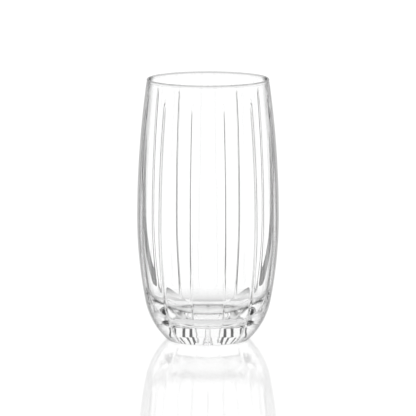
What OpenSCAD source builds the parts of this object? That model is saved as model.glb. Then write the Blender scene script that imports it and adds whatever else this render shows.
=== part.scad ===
// Highball glass: a barrel-shaped tumbler with upright panels, shallow grooves between them
// and a thick base. It is one piece of clear glass, so it is one solid.
// Millimetres, +Z up. The origin is the middle of the plane that the foot rests on.

/* [Outline] */
// Height from the resting plane to the top of the rim
glass_h = 150; // [125:1:180]
// Diameter of the wall at the rim, without the bead
rim_d = 69.6; // [62:0.2:76]
// Diameter over the panels at the widest level
belly_d = 81.2; // [78:0.2:92]
// Height of the widest level
belly_z = 70; // [60:1:85]
// Radius of the side's curve below the widest level
lower_arc_r = 242; // [200:1:320]
// Height at which the side starts to turn in to the foot
turn_z = 22; // [16:0.5:28]
// Diameter of the foot where it meets the resting plane
foot_d = 46.8; // [40:0.2:56]

/* [Wall and base] */
// Wall thickness at the widest level
wall_t = 2.3; // [1.6:0.1:4]
// Wall thickness at the rim
rim_t = 1.6; // [1.2:0.1:1.8]
// Diameter of the rounded bead that closes the rim
bead_d = 2; // [1.9:0.1:3]
// Thickness of the solid base, from the resting plane to the inside bottom
base_t = 11.5; // [7:0.5:16]
// Radius of the inside corner between bottom and wall
corner_r = 21; // [12:0.5:24]

/* [Underside] */
// Width of the ring that the foot rests on
ring_w = 4; // [2:0.1:8]
// Depth of the hollow inside that ring
hollow_depth = 1.4; // [0.6:0.1:3]

/* [Grooves] */
// Number of grooves, and of the upright panels between them; the middle of a panel faces the front
groove_n = 13; // [8:1:20]
// Depth of a groove below the panels at the widest level
groove_depth = 0.5; // [0.3:0.05:0.9]
// Width of a groove at the widest level
groove_w = 2; // [1:0.1:4]
// Height of the smooth band between the grooves and the rim
rim_band = 12; // [6:0.5:30]
// Height of the smooth band between the grooves and the resting plane
foot_band = 1.5; // [1:0.1:5]

/* [Hidden] */
// Sides of the circles that the outline's arcs are cut from
arc_sides = 180;
// Sides of the rim bead and of other small rounds
round_sides = 96;
// Length by which a cut runs past the surface it cuts
overrun = 2;
// Height by which two neighbouring arcs of an outline stand over each other, so that they cross
arc_cross = 0.01;

belly_r = belly_d / 2;
foot_r = foot_d / 2;
rim_r = rim_d / 2;
// Half-width of the blank that every arc of the outline is cut from
reach = max(belly_r, rim_r) + overrun;

// Radius of the arc that stands upright at one end and has moved in by sag after rise.
// It is negative where the arc moves out, as it does on a glass whose rim is the widest level.
function upright_arc_r(sag, rise) = (rise * rise + sag * sag) / (2 * sag);
// Half-width of such an arc at a height above its upright end
function arc_half_width(start_r, arc_r, dz) = start_r - arc_r + sign(arc_r) * sqrt(arc_r * arc_r - dz * dz);

// Lower side: an arc that is upright at the widest level
lower_cx = belly_r - lower_arc_r;
turn_r = arc_half_width(belly_r, lower_arc_r, belly_z - turn_z);
turn_cos = (turn_r - lower_cx) / lower_arc_r;
turn_sin = (belly_z - turn_z) / lower_arc_r;
// Turn to the foot: an arc tangent to the lower side that ends at the foot's edge
turn_arc_r = (pow(turn_r - foot_r, 2) + pow(turn_z, 2))
    / (2 * (turn_cos * (turn_r - foot_r) - turn_sin * turn_z));
turn_cx = turn_r - turn_arc_r * turn_cos;
turn_cz = turn_z + turn_arc_r * turn_sin;

// Inside: the same lower side one wall thickness in, and a corner tangent to it and to the bottom
inner_arc_r = lower_arc_r - wall_t;
corner_cz = base_t + corner_r;
corner_cx = lower_cx + sqrt(pow(inner_arc_r - corner_r, 2) - pow(belly_z - corner_cz, 2));
corner_top_z = belly_z - (belly_z - corner_cz) * inner_arc_r / (inner_arc_r - corner_r);
inner_upper_arc_r = upright_arc_r(belly_r - wall_t - rim_r + rim_t, glass_h - belly_z);

// Band under the rim: from band_z up the side runs straight
upper_arc_r = upright_arc_r(belly_r - rim_r, glass_h - belly_z);
groove_top_z = glass_h - rim_band;
band_z = groove_top_z - rim_band / 4;
band_r = arc_half_width(belly_r, upper_arc_r, band_z - belly_z);
band_slope = (band_r - rim_r) / (glass_h - band_z);

// Rim bead, centred on the wall
bead_cz = glass_h - bead_d / 2;
bead_outer_r = rim_r + band_slope * (glass_h - bead_cz);
bead_inner_r = arc_half_width(belly_r - wall_t, inner_upper_arc_r, bead_cz - belly_z);
bead_cx = (bead_outer_r + bead_inner_r) / 2;

// Grooves
groove_top_r = rim_r + band_slope * rim_band;
groove_end_z = groove_top_z + rim_band / 2;
groove_inner_r = foot_r - overrun;
groove_pitch = 360 / groove_n;
groove_half_angle = asin(groove_w / belly_d);
front_angle = -90;
first_groove_angle = front_angle + groove_pitch / 2;

// Underside
hollow_r = foot_r - ring_w;
hollow_sphere_r = upright_arc_r(hollow_depth, hollow_r);

// The stretch between the axis and an arc, from one height to another.
// The arc is the right side of its disc, or the left side where the radius is negative.
module slice(arc_r, cx, cz, z0, z1) {
    if (arc_r > 0) {
        intersection() {
            translate([cx, cz]) circle(r = arc_r, $fn = arc_sides);
            translate([0, z0]) square([reach, z1 - z0]);
        }
    } else {
        difference() {
            translate([0, z0]) square([reach, z1 - z0]);
            translate([cx, cz]) circle(r = -arc_r, $fn = arc_sides);
        }
    }
}

// Half-section of the outside up to end_z, moved in by inset below the widest level,
// with an upper arc that passes through top_r at top_z
module outline(top_r, top_z, inset, end_z) {
    start_r = belly_r - inset - arc_cross;
    top_arc_r = upright_arc_r(start_r - top_r, top_z - belly_z);
    slice(top_arc_r, start_r - top_arc_r, belly_z, belly_z, end_z);
    intersection() {
        slice(lower_arc_r - inset, lower_cx, belly_z, 0, (belly_z + end_z) / 2);
        union() {
            slice(turn_arc_r - inset + arc_cross, turn_cx, turn_cz, 0, turn_z);
            translate([0, turn_z]) square([reach, end_z - turn_z]);
        }
    }
}

// Half-section of the inside
module cavity_outline() {
    start_r = belly_r - wall_t - arc_cross;
    slice(inner_upper_arc_r, start_r - inner_upper_arc_r, belly_z, belly_z, glass_h);
    intersection() {
        slice(inner_arc_r, lower_cx, belly_z, base_t, (belly_z + glass_h) / 2);
        union() {
            translate([0, base_t]) square([corner_cx, corner_r]);
            slice(corner_r + arc_cross, corner_cx, corner_cz, base_t, corner_top_z);
            translate([0, corner_top_z]) square([reach, glass_h - corner_top_z]);
        }
    }
}

// Half-section of a blank that is a cone in its top stretch, the straight band under the rim
module band_outline() {
    cone_z = band_z - overrun;
    cone_r = rim_r + band_slope * (glass_h - cone_z);
    polygon([[0, 0], [reach, 0], [reach, cone_z], [cone_r, cone_z], [rim_r, glass_h], [0, glass_h]]);
}

// Solid of the outside with its round rim
module shell() {
    rotate_extrude($fn = arc_sides) difference() {
        union() {
            intersection() {
                outline(rim_r, glass_h, 0, bead_cz);
                band_outline();
            }
            translate([bead_cx, bead_cz]) circle(d = bead_d, $fn = round_sides);
        }
        cavity_outline();
    }
}

// One groove, cut down to its floor; the floor rises out of the side at the groove's upper end
module groove(angle) {
    rotate([0, 0, angle - groove_half_angle])
        rotate_extrude(angle = 2 * groove_half_angle, $fn = arc_sides) difference() {
            translate([groove_inner_r, foot_band])
                square([reach - groove_inner_r, groove_end_z - foot_band]);
            outline(groove_top_r, groove_top_z, groove_depth, groove_end_z);
        }
}

// Shallow hollow under the foot, which leaves a ring to stand on
module underside_hollow() {
    translate([0, 0, hollow_depth - hollow_sphere_r]) sphere(r = hollow_sphere_r, $fn = arc_sides);
}

module tumbler() {
    color("aliceblue", 0.4) difference() {
        shell();
        for (i = [0 : groove_n - 1]) groove(first_groove_angle + i * groove_pitch);
        underside_hollow();
    }
}

tumbler();
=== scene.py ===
"""Highball glass in a bright studio: the visual model, in metres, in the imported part's frame."""
import logging
import math
from dataclasses import dataclass, field
from enum import Enum

import bmesh
import bpy
from mathutils import Matrix, Vector


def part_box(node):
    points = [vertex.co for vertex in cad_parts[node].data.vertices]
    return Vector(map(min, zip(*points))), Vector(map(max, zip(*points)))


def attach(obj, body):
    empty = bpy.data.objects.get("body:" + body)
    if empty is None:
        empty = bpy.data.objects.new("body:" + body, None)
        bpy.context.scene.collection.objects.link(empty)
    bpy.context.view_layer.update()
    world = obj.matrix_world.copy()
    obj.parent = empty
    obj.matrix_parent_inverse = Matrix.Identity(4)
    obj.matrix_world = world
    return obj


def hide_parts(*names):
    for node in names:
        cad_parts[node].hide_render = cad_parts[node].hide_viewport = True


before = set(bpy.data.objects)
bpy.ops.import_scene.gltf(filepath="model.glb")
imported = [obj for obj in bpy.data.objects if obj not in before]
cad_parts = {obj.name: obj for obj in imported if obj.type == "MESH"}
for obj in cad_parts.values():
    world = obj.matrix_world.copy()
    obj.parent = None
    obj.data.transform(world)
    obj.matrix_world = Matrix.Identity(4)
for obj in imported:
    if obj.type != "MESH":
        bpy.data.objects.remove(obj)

log = logging.getLogger("highball")

MM = 0.001
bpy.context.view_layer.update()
Point = tuple[float, float]
Span = tuple[float, float]


class Wall(Enum):
    """The sides of the glass wall, as a vertex layer of its mesh holds them."""

    INSIDE = 0
    OUTSIDE = 1


def maths(tree: bpy.types.NodeTree, operation: str, *values: object) -> bpy.types.NodeSocket:
    """Adds a maths node.

    Args:
        tree: The node tree that takes the node.
        operation: The node's operation, such as MULTIPLY.
        *values: A number or an output socket for each input.

    Returns:
        The node's output socket.
    """
    node = tree.nodes.new("ShaderNodeMath")
    node.operation = operation
    for socket, value in zip(node.inputs, values):
        if isinstance(value, bpy.types.NodeSocket):
            tree.links.new(value, socket)
        else:
            socket.default_value = value
    return node.outputs[0]


def eased_range(
    tree: bpy.types.NodeTree, value: bpy.types.NodeSocket, source: Span, target: Span
) -> bpy.types.NodeSocket:
    """Adds a node that eases a value from one range to another and holds it at both ends.

    Args:
        tree: The node tree that takes the node.
        value: The value's output socket.
        source: The value's range.
        target: The range of the result.

    Returns:
        The node's output socket.
    """
    node = tree.nodes.new("ShaderNodeMapRange")
    node.interpolation_type = "SMOOTHSTEP"
    tree.links.new(value, node.inputs["Value"])
    node.inputs["From Min"].default_value, node.inputs["From Max"].default_value = source
    node.inputs["To Min"].default_value, node.inputs["To Max"].default_value = target
    return node.outputs["Result"]


@dataclass(frozen=True)
class ClearGlass:
    """Fire-polished clear soda-lime glass, with painted shade in its colour: greyer at glancing
    angles and round the rim's bead.

    Its surface carries the faint waves that pressing leaves.
    """

    name: str = "clear_glass"
    ior: float = 1.52
    tint: tuple[float, float, float] = (0.995, 0.996, 0.996)
    # painted shade: the colour greys towards glancing angles, in place of the dark edges that
    # refraction shows
    painted_edge_shade: Span = (0.52, 0.8)
    painted_edge_shade_levels: Span = (1.0, 0.05)
    # painted shade: a grey band over the top of the rim's bead, in place of the dark rim line that
    # refraction shows
    painted_rim_shade_zone: Span = (148.9 * MM, 149.3 * MM)
    painted_rim_shade_levels: Span = (1.0, 0.62)
    wave_scale: float = 45.0
    wave_detail: float = 1.0
    wave_depth: float = 0.05 * MM

    def material(self) -> bpy.types.Material:
        """Builds the material.

        Returns:
            The finished material.
        """
        material = bpy.data.materials.new(self.name)
        material.use_nodes = True
        tree = material.node_tree
        shader = tree.nodes["Principled BSDF"]
        shader.inputs["Roughness"].default_value = 0.0
        shader.inputs["IOR"].default_value = self.ior
        shader.inputs["Transmission Weight"].default_value = 1.0
        facing = tree.nodes.new("ShaderNodeLayerWeight").outputs["Facing"]
        place = tree.nodes.new("ShaderNodeTexCoord").outputs["Object"]
        split = tree.nodes.new("ShaderNodeSeparateXYZ")
        tree.links.new(place, split.inputs["Vector"])
        # painted shade: the glass's colour is darkened at glancing angles and round the rim's bead
        level = maths(
            tree, "MULTIPLY", eased_range(tree, facing, self.painted_edge_shade, self.painted_edge_shade_levels),
            eased_range(tree, split.outputs["Z"], self.painted_rim_shade_zone, self.painted_rim_shade_levels),
        )
        colour = tree.nodes.new("ShaderNodeVectorMath")
        colour.operation = "SCALE"
        colour.inputs[0].default_value = self.tint
        tree.links.new(level, colour.inputs["Scale"])
        tree.links.new(colour.outputs["Vector"], shader.inputs["Base Color"])
        self.wave(tree, shader, place)
        return material

    def wave(
        self, tree: bpy.types.NodeTree, shader: bpy.types.Node, place: bpy.types.NodeSocket
    ) -> None:
        """Gives the surface its faint waves.

        Args:
            tree: The material's node tree.
            shader: The glass shader.
            place: The output socket with the place on the piece.
        """
        noise = tree.nodes.new("ShaderNodeTexNoise")
        noise.inputs["Scale"].default_value = self.wave_scale
        noise.inputs["Detail"].default_value = self.wave_detail
        bump = tree.nodes.new("ShaderNodeBump")
        bump.inputs["Distance"].default_value = self.wave_depth
        tree.links.new(place, noise.inputs["Vector"])
        tree.links.new(noise.outputs["Fac"], bump.inputs["Height"])
        tree.links.new(bump.outputs["Normal"], shader.inputs["Normal"])


@dataclass(frozen=True)
class GlossyWhite:
    """White acrylic table top, which mirrors the foot of the glass softly."""

    name: str = "table_white"
    albedo: float = 0.8
    lift: float = 0.2
    roughness: float = 0.07
    ior: float = 1.5

    def material(self) -> bpy.types.Material:
        """Builds the material.

        Returns:
            The finished material.
        """
        material = bpy.data.materials.new(self.name)
        material.use_nodes = True
        tree = material.node_tree
        shader = tree.nodes["Principled BSDF"]
        shader.inputs["Base Color"].default_value = (self.albedo, self.albedo, self.albedo, 1.0)
        shader.inputs["Roughness"].default_value = self.roughness
        shader.inputs["IOR"].default_value = self.ior
        shader.inputs["Emission Color"].default_value = (1.0, 1.0, 1.0, 1.0)
        path = tree.nodes.new("ShaderNodeLightPath")
        seen = maths(tree, "MAXIMUM", path.outputs["Is Camera Ray"], path.outputs["Is Glossy Ray"])
        seen = maths(tree, "MAXIMUM", seen, path.outputs["Is Transmission Ray"])
        tree.links.new(maths(tree, "MULTIPLY", seen, self.lift), shader.inputs["Emission Strength"])
        return material


@dataclass(frozen=True)
class FadedCardAndShadow:
    """Glowing sheet whose grey changes with the distance from the middle of the foot; it makes the
    studio's dull cards and the painted contact shadow round the foot.
    """

    name: str
    reach: Span
    levels: Span

    def material(self) -> bpy.types.Material:
        """Builds the material.

        Returns:
            The finished material.
        """
        material = bpy.data.materials.new(self.name)
        material.use_nodes = True
        tree = material.node_tree
        tree.nodes.remove(tree.nodes["Principled BSDF"])
        distance = tree.nodes.new("ShaderNodeVectorMath")
        distance.operation = "LENGTH"
        tree.links.new(tree.nodes.new("ShaderNodeTexCoord").outputs["Object"], distance.inputs[0])
        glow = tree.nodes.new("ShaderNodeEmission")
        level = eased_range(tree, distance.outputs["Value"], self.reach, self.levels)
        tree.links.new(level, glow.inputs["Strength"])
        tree.links.new(glow.outputs[0], tree.nodes["Material Output"].inputs["Surface"])
        return material


class Pen:
    """Draws a half-section in the plane y = 0, each stretch started at the last vertex."""

    def __init__(self, mesh: bmesh.types.BMesh, r: float, z: float) -> None:
        """Starts the chain.

        Args:
            mesh: The mesh that takes the chain.
            r: Distance of the first vertex from the axis.
            z: Height of the first vertex.
        """
        self.mesh = mesh
        self.side = mesh.verts.layers.int.new("side")
        self.tip = mesh.verts.new((r, 0.0, z))
        self.tip[self.side] = Wall.OUTSIDE.value

    def line_to(self, r: float, z: float, steps: int) -> None:
        """Runs straight to a point.

        Args:
            r: Distance of the point from the axis.
            z: Height of the point.
            steps: Number of edges.
        """
        step = (Vector((r, 0.0, z)) - self.tip.co) / steps
        for _ in range(steps):
            new = bmesh.ops.extrude_vert_indiv(self.mesh, verts=[self.tip])["verts"][0]
            new[self.side] = self.tip[self.side]
            new.co += step
            self.tip = new

    def turn_by(self, centre: Point, turn: float, steps: int) -> None:
        """Runs round a centre.

        Args:
            centre: The arc's centre, as distance from the axis and height.
            turn: Angle of the arc, anticlockwise from the axis's right.
            steps: Number of edges.
        """
        spun = bmesh.ops.spin(
            self.mesh, geom=[self.tip], cent=(centre[0], 0.0, centre[1]), axis=(0.0, 1.0, 0.0),
            angle=-turn, steps=steps,
        )
        self.tip = next(v for v in spun["geom_last"] if isinstance(v, bmesh.types.BMVert))

    def turn_to(self, centre: Point, end: Point, steps: int) -> None:
        """Runs round a centre the short way, to the direction of a point.

        Args:
            centre: The arc's centre, as distance from the axis and height.
            end: The point that gives the arc's last direction.
            steps: Number of edges.
        """
        first = math.atan2(self.tip.co.z - centre[1], self.tip.co.x - centre[0])
        last = math.atan2(end[1] - centre[1], end[0] - centre[0])
        self.turn_by(centre, math.remainder(last - first, math.tau), steps)


def report(thing: bpy.types.Object) -> None:
    """Logs an object's name and number of faces."""
    log.info("%s: %d faces", thing.name, len(thing.data.polygons))


def upright_arc_r(sag: float, rise: float) -> float:
    """Radius of the arc that stands upright at one end and has moved in by sag after rise."""
    return (rise * rise + sag * sag) / (2 * sag)


def arc_half_width(start_r: float, arc_r: float, dz: float) -> float:
    """Half-width of an upright arc at a height above its upright end."""
    return start_r - arc_r + math.sqrt(arc_r * arc_r - dz * dz)


def smooth_step(value: float) -> float:
    """Eases a value from 0 to 1, flat at both ends."""
    t = min(max(value, 0.0), 1.0)
    return t * t * (3.0 - 2.0 * t)


@dataclass
class Tumbler:
    """The glass: a barrel with upright panels, a round rim and a thick base, in metres."""

    height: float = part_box("tumbler")[1][2]
    belly_r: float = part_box("tumbler")[1][1]
    rim_r: float = 34.8 * MM
    belly_z: float = 70.0 * MM
    lower_arc_r: float = 242.0 * MM
    turn_z: float = 22.0 * MM
    foot_r: float = 23.4 * MM
    foot_round: float = 0.7 * MM
    wall_t: float = 2.2 * MM
    rim_t: float = 1.1 * MM
    bead_r: float = 0.62 * MM
    base_t: float = 12.0 * MM
    corner_r: float = 21.0 * MM
    ring_w: float = 4.0 * MM
    hollow_depth: float = 1.4 * MM
    groove_n: int = 13
    groove_depth: float = 0.38 * MM
    groove_power: float = 18.0
    groove_rise: float = 20.0
    foot_depth: float = 0.4 * MM
    groove_round: float = 0.15 * MM
    rim_band: float = 7.5 * MM
    foot_band: float = 1.0 * MM
    foot_fade: float = 2.5 * MM
    steps_per_panel: int = 34
    groove_crowding: float = 1.5
    hollow_steps: int = 8
    ring_steps: int = 3
    round_steps: int = 6
    turn_steps: int = 30
    lower_steps: int = 30
    upper_steps: int = 44
    bead_steps: int = 18
    inner_upper_steps: int = 30
    inner_lower_steps: int = 20
    corner_steps: int = 22
    bottom_steps: int = 5
    merge_gap: float = 0.001 * MM
    front_angle: float = math.radians(-90.0)
    finish: ClearGlass = field(default_factory=ClearGlass)

    def build(self) -> bpy.types.Object:
        """Builds the glass and dresses it.

        Returns:
            The finished piece.
        """
        body = bmesh.new()
        self.draw_section(body)
        self.spin_sector(body)
        self.press_grooves(body)
        self.repeat_sector(body)
        return self.finished(body)

    def draw_section(self, body: bmesh.types.BMesh) -> None:
        """Draws the half-section as a chain, from the underside's middle to the inside bottom's.

        Args:
            body: The empty mesh that takes the chain.
        """
        hollow_r = self.foot_r - self.ring_w
        hollow_sphere_r = upright_arc_r(self.hollow_depth, hollow_r)
        pen = Pen(body, 0.0, self.hollow_depth)
        centre = (0.0, self.hollow_depth - hollow_sphere_r)
        pen.turn_to(centre, (hollow_r, 0.0), self.hollow_steps)
        self.draw_outside(pen)
        self.draw_rim(pen)
        self.draw_inside(pen)

    def draw_outside(self, pen: Pen) -> None:
        """Draws the foot and the outside, up to the rim's bead.

        Args:
            pen: The pen, at the inner edge of the foot's ring.
        """
        lower_cx = self.belly_r - self.lower_arc_r
        turn_r = arc_half_width(self.belly_r, self.lower_arc_r, self.belly_z - self.turn_z)
        turn_cos = (turn_r - lower_cx) / self.lower_arc_r
        turn_sin = (self.belly_z - self.turn_z) / self.lower_arc_r
        run = turn_r - self.foot_r
        turn_arc_r = (run ** 2 + self.turn_z ** 2) / (2 * (turn_cos * run - turn_sin * self.turn_z))
        turn_centre = (turn_r - turn_arc_r * turn_cos, self.turn_z + turn_arc_r * turn_sin)
        round_cx = turn_centre[0] + math.sqrt(
            (turn_arc_r - self.foot_round) ** 2 - (turn_centre[1] - self.foot_round) ** 2
        )
        round_centre = (round_cx, self.foot_round)
        away = Vector(round_centre) - Vector(turn_centre)
        pen.line_to(round_cx, 0.0, self.ring_steps)
        pen.turn_to(round_centre, tuple(Vector(round_centre) + away), self.round_steps)
        pen.turn_to(turn_centre, (turn_r, self.turn_z), self.turn_steps)
        pen.turn_to((lower_cx, self.belly_z), (self.belly_r, self.belly_z), self.lower_steps)
        upper_arc_r = upright_arc_r(self.belly_r - self.rim_r, self.height - self.belly_z)
        neck = (self.outer_r(self.neck_z), self.neck_z)
        pen.turn_to((self.belly_r - upper_arc_r, self.belly_z), neck, self.upper_steps)

    @property
    def neck_z(self) -> float:
        """Height at which the wall meets the rim's bead."""
        drop = math.sqrt(self.bead_r ** 2 - (self.rim_t / 2) ** 2)
        return self.height - self.bead_r - drop

    def outer_r(self, z: float) -> float:
        """Radius of the outside over the panels at a height above the belly."""
        arc_r = upright_arc_r(self.belly_r - self.rim_r, self.height - self.belly_z)
        return arc_half_width(self.belly_r, arc_r, z - self.belly_z)

    def inner_r(self, z: float) -> float:
        """Radius of the inside at a height above the belly."""
        start_r = self.belly_r - self.wall_t
        arc_r = upright_arc_r(start_r - self.rim_r + self.rim_t, self.height - self.belly_z)
        return arc_half_width(start_r, arc_r, z - self.belly_z)

    def draw_rim(self, pen: Pen) -> None:
        """Draws the bead from the outside over the top to the inside.

        Args:
            pen: The pen, at the top of the outside.
        """
        outer_r = pen.tip.co.x
        centre = ((outer_r + self.inner_r(self.neck_z)) / 2, self.height - self.bead_r)
        lean = math.atan2(centre[1] - self.neck_z, outer_r - centre[0])
        reach = math.hypot(outer_r - centre[0], centre[1] - self.neck_z)
        centre = (centre[0], self.height - reach)
        pen.turn_by(centre, math.pi + 2 * lean, self.bead_steps)

    def draw_inside(self, pen: Pen) -> None:
        """Draws the inside from the bead down to the middle of the bottom.

        Args:
            pen: The pen, at the top of the inside.
        """
        for vertex in pen.mesh.verts:
            vertex[pen.side] = Wall.OUTSIDE.value
        pen.tip[pen.side] = Wall.INSIDE.value
        belly_r = self.belly_r - self.wall_t
        upper_arc_r = upright_arc_r(belly_r - self.rim_r + self.rim_t, self.height - self.belly_z)
        lower_cx = self.belly_r - self.lower_arc_r
        lower_arc_r = self.lower_arc_r - self.wall_t
        corner_cz = self.base_t + self.corner_r
        corner_cx = lower_cx + math.sqrt(
            (lower_arc_r - self.corner_r) ** 2 - (self.belly_z - corner_cz) ** 2
        )
        corner = Vector((corner_cx, corner_cz))
        away = corner - Vector((lower_cx, self.belly_z))
        upper_centre = (belly_r - upper_arc_r, self.belly_z)
        pen.turn_to(upper_centre, (belly_r, self.belly_z), self.inner_upper_steps)
        pen.turn_to((lower_cx, self.belly_z), tuple(corner + away), self.inner_lower_steps)
        pen.turn_to(tuple(corner), (corner_cx, self.base_t), self.corner_steps)
        pen.line_to(0.0, self.base_t, self.bottom_steps)

    @property
    def pitch(self) -> float:
        """Angle from one panel to the next."""
        return math.tau / self.groove_n

    def spin_sector(self, body: bmesh.types.BMesh) -> None:
        """Spins the section through the width of the front panel, from groove to groove.

        Args:
            body: The mesh with the section.
        """
        start = Matrix.Rotation(self.front_angle - self.pitch / 2, 3, "Z")
        bmesh.ops.rotate(body, verts=body.verts, cent=(0.0, 0.0, 0.0), matrix=start)
        bmesh.ops.spin(
            body, geom=body.verts[:] + body.edges[:], cent=(0.0, 0.0, 0.0), axis=(0.0, 0.0, 1.0),
            angle=self.pitch, steps=self.steps_per_panel,
        )

    def repeat_sector(self, body: bmesh.types.BMesh) -> None:
        """Repeats the pressed sector round the axis and closes its seams and poles.

        Args:
            body: The mesh with the front panel's sector.
        """
        bmesh.ops.spin(
            body, geom=body.verts[:] + body.edges[:] + body.faces[:], cent=(0.0, 0.0, 0.0),
            axis=(0.0, 0.0, 1.0), angle=math.tau - self.pitch, steps=self.groove_n - 1,
            use_duplicate=True,
        )
        bmesh.ops.remove_doubles(body, verts=body.verts, dist=self.merge_gap)
        bmesh.ops.recalc_face_normals(body, faces=body.faces)

    def depth_at(self, z: float) -> float:
        """Depth of the grooves below the panels at a height."""
        top_z = self.height - self.rim_band
        climb = max(z - self.belly_z, 0.0) / (top_z - self.belly_z)
        fall = max(self.belly_z - z, 0.0) / self.belly_z
        depth = self.groove_depth * max(1.0 - climb ** self.groove_rise, 0.0)
        return depth + (self.foot_depth - self.groove_depth) * fall ** 2

    def press_grooves(self, body: bmesh.types.BMesh) -> None:
        """Presses the grooves beside the front panel and crowds the columns of vertices there.

        Args:
            body: The mesh with the front panel's sector.
        """
        side = body.verts.layers.int["side"]
        for vertex in body.verts:
            r = math.hypot(vertex.co.x, vertex.co.y)
            angle = math.atan2(vertex.co.y, vertex.co.x) - self.front_angle
            share = min(max(angle / (self.pitch / 2), -1.0), 1.0) if r > self.merge_gap else 0.0
            share = math.copysign(1.0 - (1.0 - abs(share)) ** self.groove_crowding, share)
            if vertex[side] == Wall.OUTSIDE.value and vertex.co.z > self.foot_band:
                r -= self.depth_at(vertex.co.z) * self.groove_shape(share, vertex.co.z)
            angle = share * self.pitch / 2 + self.front_angle
            vertex.co.x = r * math.cos(angle)
            vertex.co.y = r * math.sin(angle)

    def groove_shape(self, share: float, z: float) -> float:
        """Depth across a panel and the grooves beside it, as a share of a groove's full depth.

        Args:
            share: Place across the panel, from -1 to 1 at the grooves' middles.
            z: Height above the table.

        Returns:
            The share of the depth.
        """
        half_width = math.pi * self.belly_r / self.groove_n
        rounding = self.groove_round / half_width
        gap = 1.0 - abs(share)
        gap = math.sqrt(gap * gap + rounding * rounding) - rounding
        across = (1.0 - gap) ** self.groove_power
        return across * smooth_step((z - self.foot_band) / self.foot_fade)

    def finished(self, body: bmesh.types.BMesh) -> bpy.types.Object:
        """Makes the mesh an object and gives it its finish.

        Args:
            body: The finished mesh, which is freed.

        Returns:
            The finished piece.
        """
        for face in body.faces:
            face.smooth = True
        mesh = bpy.data.meshes.new("tumbler_glass")
        body.to_mesh(mesh)
        body.free()
        piece = bpy.data.objects.new("tumbler_glass", mesh)
        bpy.context.scene.collection.objects.link(piece)
        mesh.materials.append(self.finish.material())
        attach(piece, "root")
        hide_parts("tumbler")
        return piece


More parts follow.
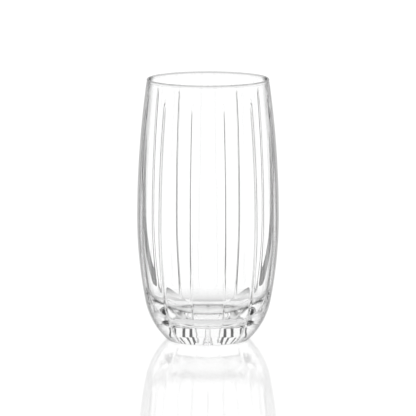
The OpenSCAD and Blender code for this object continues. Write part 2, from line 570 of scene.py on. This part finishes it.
@dataclass
class Studio:
    """The white table, the white room, the ring of dark cards that draws the glass's grooves, and a
    painted contact shadow round the foot.

    The cards leave wide gaps, so that the middle of the glass shows white from each side that a
    gap faces, while its grooves and edges bend the view round to a card. Places are angles from
    the middle of a gap.
    """

    table_r: float = 4.0
    table_steps: int = 96
    room_level: float = 1.0
    gap_n: int = 8
    ring_r: float = 0.6
    ring_h: float = 0.06
    apron_r: float = 0.045
    apron_z: float = 0.0003
    card_places: tuple[float, ...] = (math.radians(15.2), math.radians(29.8))
    card_width: float = math.radians(4.4)
    comb_h: float = 1.0
    comb_places: tuple[float, ...] = tuple(math.radians(place) for place in (12, 18, 27, 33))
    comb_width: float = math.radians(2.5)
    steps_per_card: int = 4
    painted_shadow_r: float = 0.11
    painted_shadow_z: float = 0.0002
    painted_shadow_steps: int = 96
    table_finish: GlossyWhite = field(default_factory=GlossyWhite)
    card_finish: FadedCardAndShadow = field(
        default_factory=lambda: FadedCardAndShadow("card_dark", (0.05, 0.14), (1.0, 0.08))
    )
    # painted contact shadow: grey next to the foot, white further out
    painted_shadow_finish: FadedCardAndShadow = field(
        default_factory=lambda: FadedCardAndShadow("painted_shadow_grey", (0.03, 0.11), (0.55, 1.0))
    )

    def build(self) -> None:
        """Builds the room, the table, the cards and the painted contact shadow."""
        self.light_room()
        self.lay_table()
        self.stand_cards()
        self.lay_painted_shadow()

    def light_room(self) -> None:
        """Fills the room with even white light."""
        world = bpy.data.worlds.new("white_room")
        world.use_nodes = True
        bpy.context.scene.world = world
        background = world.node_tree.nodes["Background"]
        background.inputs["Color"].default_value = (1.0, 1.0, 1.0, 1.0)
        background.inputs["Strength"].default_value = self.room_level

    def lay_table(self) -> None:
        """Lays the white table top in the plane of the foot."""
        top = bmesh.new()
        bmesh.ops.create_circle(
            top, cap_ends=True, segments=self.table_steps, radius=self.table_r
        )
        self.placed(top, "table_top", self.table_finish.material())

    def stand_cards(self) -> None:
        """Stands the dark cards in a ring, each with an apron on the table that runs to the glass.

        Narrow cards stand over them, which only the thick base and the rim bend the view to.
        """
        foot = (self.ring_r, self.apron_z)
        top = (self.ring_r, self.ring_h)
        for number, place in enumerate(self.card_places, start=1):
            section = [(self.apron_r, self.apron_z), foot, top]
            self.stand_ring(f"dark_cards_{number}", section, place, self.card_width)
        for number, place in enumerate(self.comb_places, start=1):
            section = [top, (self.ring_r, self.comb_h)]
            self.stand_ring(f"comb_{number}", section, place, self.comb_width)

    def stand_ring(self, name: str, section: list[Point], place: float, width: float) -> None:
        """Stands a ring of equal dark cards, one for each gap.

        Args:
            name: The name of the ring.
            section: The card's section from its lower end, as distances from the axis and heights.
            place: Angle from a gap's middle to the card's middle.
            width: Angle that a card takes up.
        """
        cards = bmesh.new()
        pitch = math.tau / self.gap_n
        (r, z), *rest = section
        tip = cards.verts.new((r, 0.0, z))
        for r, z in rest:
            tip = bmesh.ops.extrude_vert_indiv(cards, verts=[tip])["verts"][0]
            tip.co = (r, 0.0, z)
        turn = Matrix.Rotation(math.pi / 2 + place - width / 2, 3, "Z")
        bmesh.ops.rotate(cards, verts=cards.verts, cent=(0.0, 0.0, 0.0), matrix=turn)
        bmesh.ops.spin(
            cards, geom=cards.verts[:] + cards.edges[:], cent=(0.0, 0.0, 0.0), axis=(0.0, 0.0, 1.0),
            angle=width, steps=self.steps_per_card,
        )
        bmesh.ops.spin(
            cards, geom=cards.verts[:] + cards.edges[:] + cards.faces[:], cent=(0.0, 0.0, 0.0),
            axis=(0.0, 0.0, 1.0), angle=math.tau - pitch, steps=self.gap_n - 1, use_duplicate=True,
        )
        self.seen_through_glass(self.placed(cards, name, self.card_finish.material()))

    def lay_painted_shadow(self) -> None:
        """Lays a painted contact shadow round the glass: a ring on the table, grey at its inner
        edge and white at its outer.
        """
        painted_shadow = bmesh.new()
        edge = painted_shadow.verts.new((0.0, self.apron_r, self.painted_shadow_z))
        outer = bmesh.ops.extrude_vert_indiv(painted_shadow, verts=[edge])["verts"][0]
        outer.co.y = self.painted_shadow_r
        bmesh.ops.spin(
            painted_shadow, geom=painted_shadow.verts[:] + painted_shadow.edges[:], cent=(0.0, 0.0, 0.0), axis=(0.0, 0.0, 1.0),
            angle=math.tau, steps=self.painted_shadow_steps, use_merge=True,
        )
        self.seen_through_glass(self.placed(painted_shadow, "painted_shadow", self.painted_shadow_finish.material()))

    def seen_through_glass(self, thing: bpy.types.Object) -> None:
        """Leaves a stage object only to rays that the glass has bent.

        Args:
            thing: The stage object.
        """
        thing.visible_camera = False
        thing.visible_diffuse = False
        thing.visible_glossy = False
        thing.visible_shadow = False

    def placed(
        self, shape: bmesh.types.BMesh, name: str, material: bpy.types.Material
    ) -> bpy.types.Object:
        """Makes a mesh a stage object.

        Args:
            shape: The finished mesh, which is freed.
            name: The object's name.
            material: Its material.

        Returns:
            The stage object.
        """
        mesh = bpy.data.meshes.new(name)
        shape.to_mesh(mesh)
        shape.free()
        mesh.materials.append(material)
        thing = bpy.data.objects.new(name, mesh)
        bpy.context.scene.collection.objects.link(thing)
        report(thing)
        return thing


@dataclass
class PhotoCamera:
    """The camera of the photograph: level left to right, a little above the rim."""

    distance: float = 3.2
    height: float = 0.532
    aim_z: float = 0.0755
    lens_mm: float = 490.0
    sensor_mm: float = 36.0
    clip_end: float = 100.0
    bounces: int = 32
    transmission_bounces: int = 28
    glossy_bounces: int = 16

    def build(self) -> None:
        """Places the camera and sets how the picture is read."""
        camera = bpy.data.cameras.new("camera")
        camera.lens = self.lens_mm
        camera.sensor_width = self.sensor_mm
        camera.clip_end = self.clip_end
        holder = bpy.data.objects.new("camera", camera)
        bpy.context.scene.collection.objects.link(holder)
        holder.location = (0.0, -self.distance, self.height)
        look = Vector((0.0, 0.0, self.aim_z)) - holder.location
        holder.rotation_euler = look.to_track_quat("-Z", "Y").to_euler()
        scene = bpy.context.scene
        scene.camera = holder
        scene.view_settings.view_transform = "Standard"
        scene.cycles.max_bounces = self.bounces
        scene.cycles.transmission_bounces = self.transmission_bounces
        scene.cycles.glossy_bounces = self.glossy_bounces
        scene.cycles.caustics_refractive = True
        scene.cycles.blur_glossy = 0.0
        scene.cycles.sample_clamp_indirect = 0.0


def main() -> None:
    """Builds the camera, the glass and the studio."""
    logging.basicConfig(level=logging.INFO, format="%(message)s")
    PhotoCamera().build()
    report(Tumbler().build())
    Studio().build()


if __name__ == "__main__":
    main()
